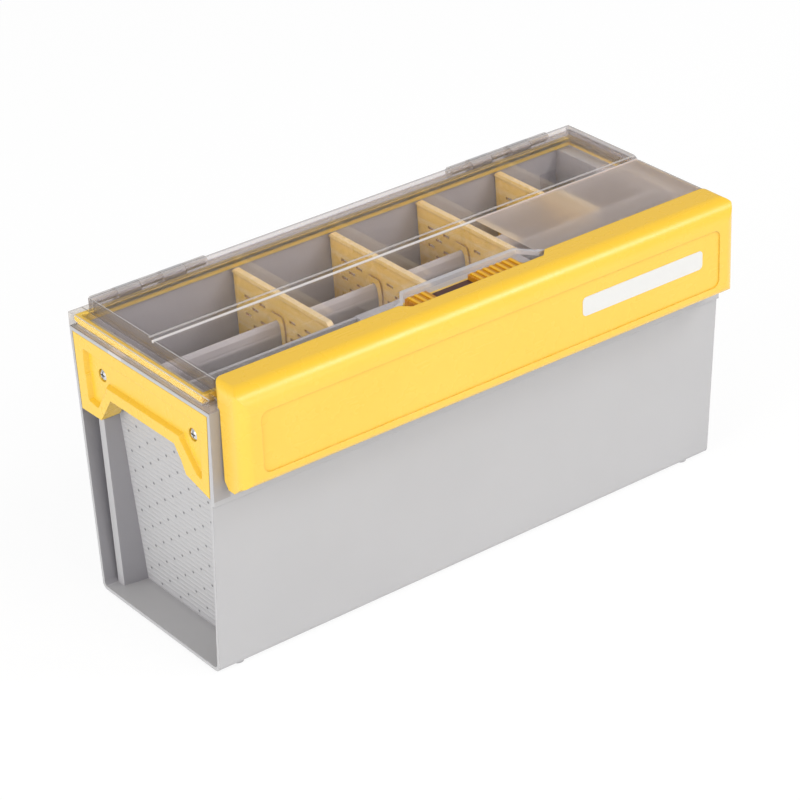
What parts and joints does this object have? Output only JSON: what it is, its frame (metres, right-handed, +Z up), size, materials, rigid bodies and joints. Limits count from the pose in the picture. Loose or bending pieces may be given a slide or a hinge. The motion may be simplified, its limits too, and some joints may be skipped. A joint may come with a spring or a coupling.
{
  "type": "tackle bin",
  "caption": "Long deep portable tackle bin with a clear hinged lid, a full-length front latch, arched end handles and slotted dividers over an inner rail.",
  "frame": {"origin": "bottom centre of the overall box, on the plane that the feet stand on", "axes": "+X along the bin's length, to the right as seen from the latch side; -Y towards the latch; +Z up"},
  "size_m": [0.4, 0.1764, 0.2025],
  "materials": {
    "bin_plastic": "satin moulded",
    "lid_clear": "clear polished",
    "gasket_rubber": "soft matte",
    "hinge_pin": "drawn wire",
    "latch_plastic": "satin moulded",
    "latch_label": "blank printed film",
    "handle_plastic": "satin moulded",
    "handle_screw": "zinc plated",
    "divider_plastic": "satin moulded"
  },
  "bodies": {
    "bin": {"bin": "bin_plastic", "lid_pin_left": "hinge_pin", "lid_pin_right": "hinge_pin", "latch_pin_left": "hinge_pin", "latch_pin_middle": "hinge_pin", "latch_pin_right": "hinge_pin", "handle_left": "handle_plastic", "handle_right": "handle_plastic", "handle_screw_1": "handle_screw", "handle_screw_2": "handle_screw", "handle_screw_3": "handle_screw", "handle_screw_4": "handle_screw", "divider_1": "divider_plastic", "divider_2": "divider_plastic", "divider_3": "divider_plastic", "divider_4": "divider_plastic"},
    "lid": {"lid": "lid_clear", "gasket": "gasket_rubber"},
    "latch": {"latch": "latch_plastic", "latch_label": "latch_label"}
  },
  "joints": [
    {"name": "lid_hinge", "type": "hinge", "parent": "bin", "child": "lid", "pos_m": [0, 0.08375, 0.1915], "axis": [-1, 0, 0], "range_deg": [0, 110]},
    {"name": "latch_hinge", "type": "hinge", "parent": "bin", "child": "latch", "pos_m": [0, -0.07475, 0.138], "axis": [1, 0, 0], "range_deg": [0, 95]}
  ]
}
